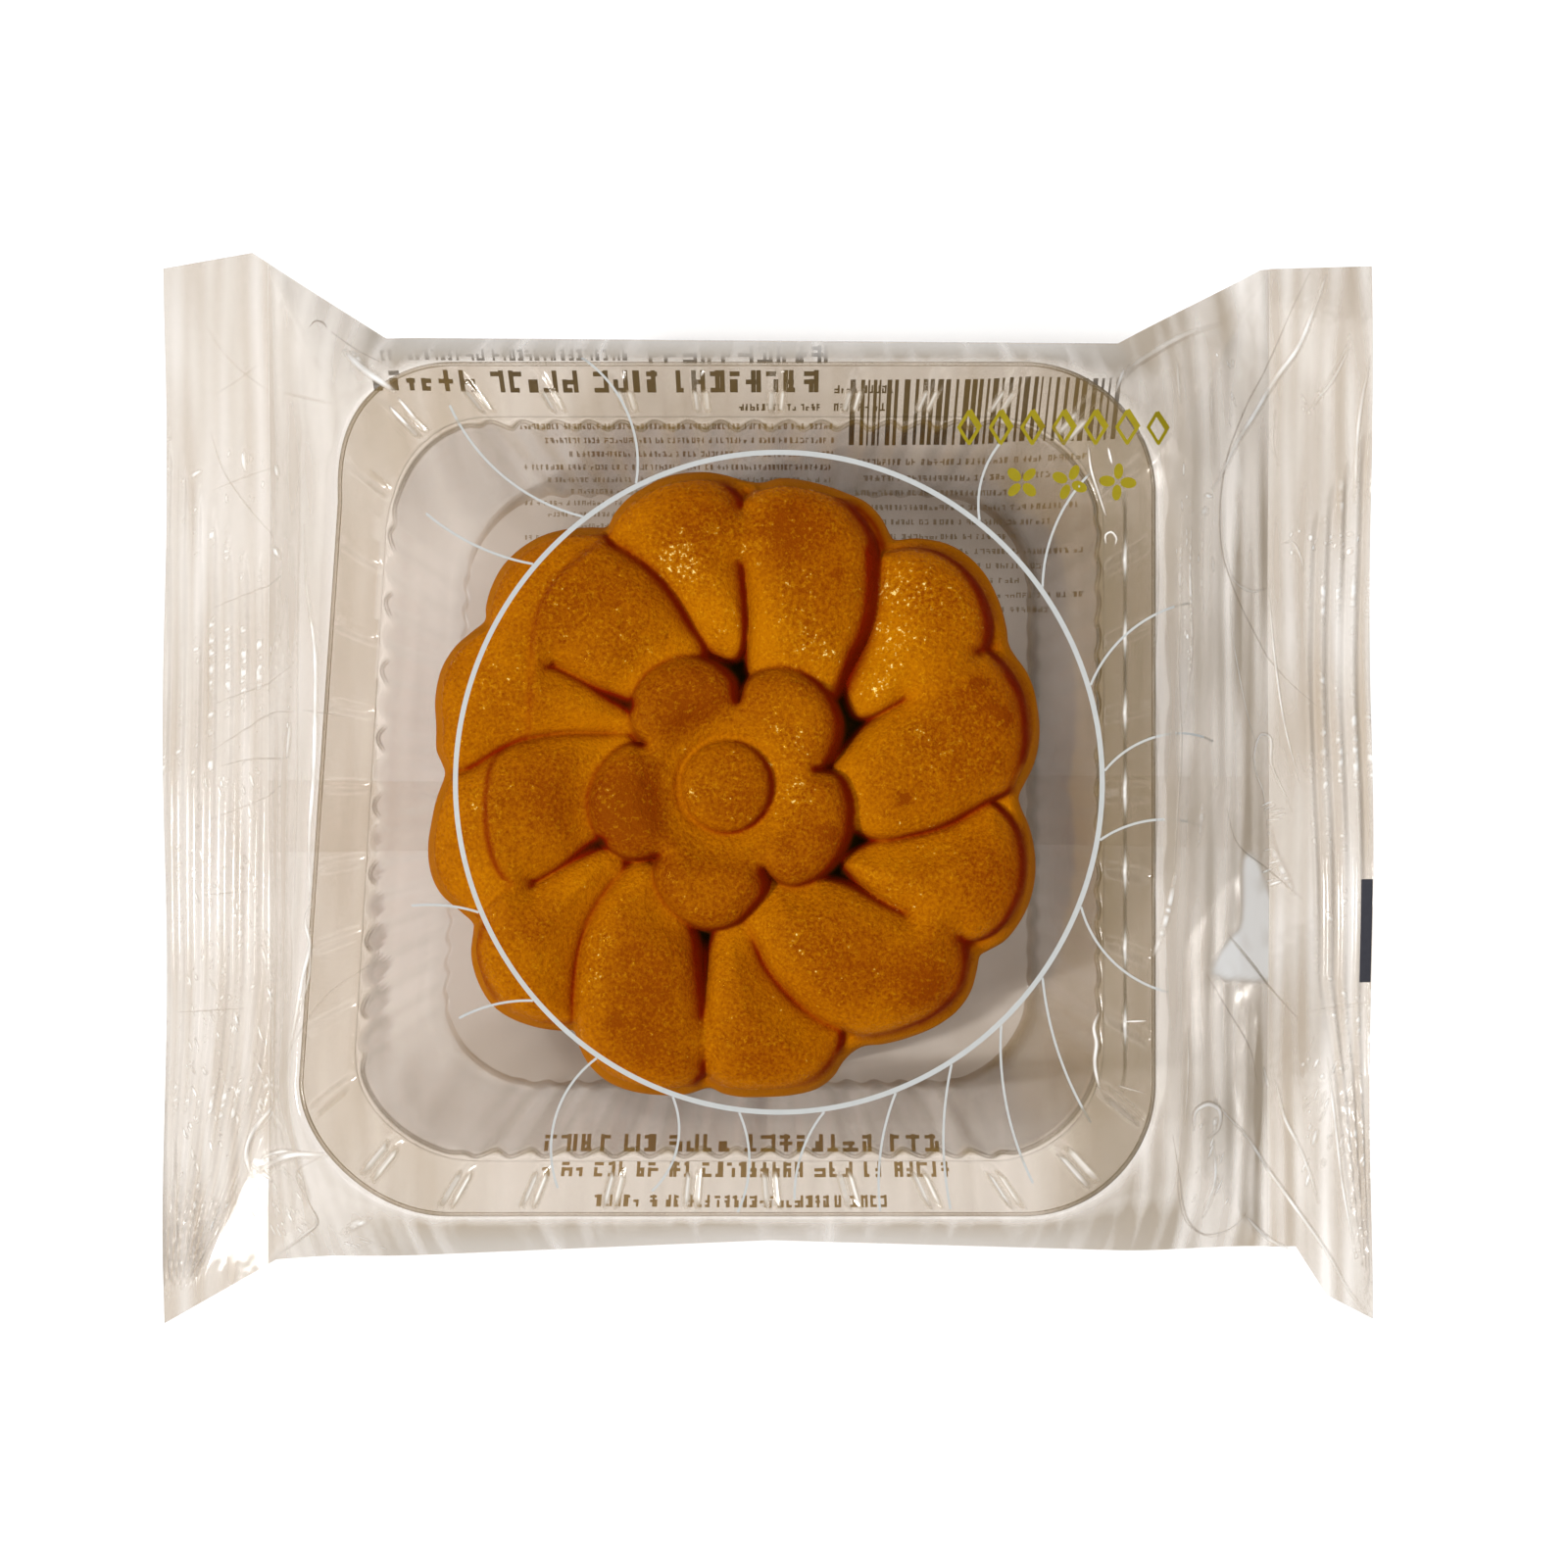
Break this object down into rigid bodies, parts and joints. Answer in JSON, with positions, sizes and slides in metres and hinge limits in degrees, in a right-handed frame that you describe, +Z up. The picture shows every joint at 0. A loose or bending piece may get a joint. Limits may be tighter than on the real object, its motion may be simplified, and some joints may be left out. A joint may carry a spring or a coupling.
{
  "type": "packed fruit and nut mooncake",
  "caption": "Round flower-moulded mooncake in a clear fluted tray, sealed in a clear film pillow bag with crimped ends; lies flat on its tray.",
  "frame": {"origin": "middle of the underside of the bag's bounding box, on the surface that it rests on", "axes": "+Z up out of the pack's front, X along the bag from crimped end to crimped end, Y across it"},
  "size_m": [0.151, 0.1327, 0.0359],
  "materials": {
    "clear_film": "clear glossy plastic film with fine creases",
    "clear_tray": "clear glossy formed plastic sheet",
    "baked_crust": "baked crust, golden brown with an egg-wash sheen",
    "white_print": "flat white ink",
    "gold_print": "dull gold ink",
    "dark_print": "flat dark ink"
  },
  "bodies": {
    "root": {"sealed_bag": "clear_film"}
  },
  "joints": []
}
